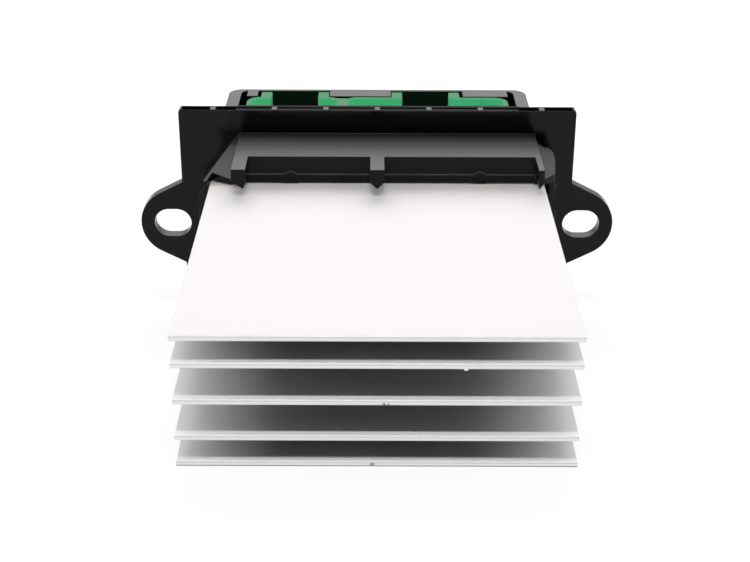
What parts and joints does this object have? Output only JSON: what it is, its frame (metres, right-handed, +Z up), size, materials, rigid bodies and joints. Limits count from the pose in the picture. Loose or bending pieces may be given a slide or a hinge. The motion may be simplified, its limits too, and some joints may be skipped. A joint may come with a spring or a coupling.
{
  "type": "blower motor resistor",
  "caption": "Blower motor resistor: an aluminium fin heat sink under a black hood, a flange with slotted screw ears, and a plug shroud with a green socket header behind it.",
  "frame": {"origin": "on the flange's front face, midway between the centres of the screw slots", "axes": "+X to the right across the fins, +Y from the fin tips towards the plugs, +Z up, out of the plug sockets"},
  "size_m": [0.1052, 0.1029, 0.0478],
  "materials": {
    "extruded_aluminium": "extruded, satin, fine lines across the fins",
    "black_moulding": "moulded, fine grain, slightly worn edges",
    "black_cover": "moulded, fine grain",
    "green_moulding": "moulded, semi-gloss",
    "tinned_terminal": "tin plated",
    "board_laminate": "green solder mask",
    "zinc_screw": "zinc plated",
    "black_epoxy": "moulded epoxy",
    "tinned_lead": "tin plated",
    "silicone_pad": "matt",
    "capacitor_can": "sleeved can",
    "orange_epoxy": "dipped epoxy",
    "shunt_alloy": "bare rolled strip",
    "cutout_case": "painted"
  },
  "bodies": {
    "root": {"heat_sink": "extruded_aluminium", "housing": "black_moulding", "rear_cover": "black_cover", "connector_header": "green_moulding", "motor_blade_left": "tinned_terminal", "motor_blade_right": "tinned_terminal", "supply_blade_left": "tinned_terminal", "supply_blade_right": "tinned_terminal", "signal_pin_left": "tinned_terminal", "signal_pin_right": "tinned_terminal", "circuit_board": "board_laminate", "board_screws": "zinc_screw", "power_transistor_left": "black_epoxy", "power_transistor_right": "black_epoxy", "transistor_leads": "tinned_lead", "thermal_pad": "silicone_pad", "transistor_screws": "zinc_screw", "sink_screws": "zinc_screw", "filter_capacitor": "capacitor_can", "surge_disc": "orange_epoxy", "shunt_strip": "shunt_alloy", "control_chip": "black_epoxy", "chip_resistors": "black_epoxy", "thermal_cutout": "cutout_case"}
  },
  "joints": []
}
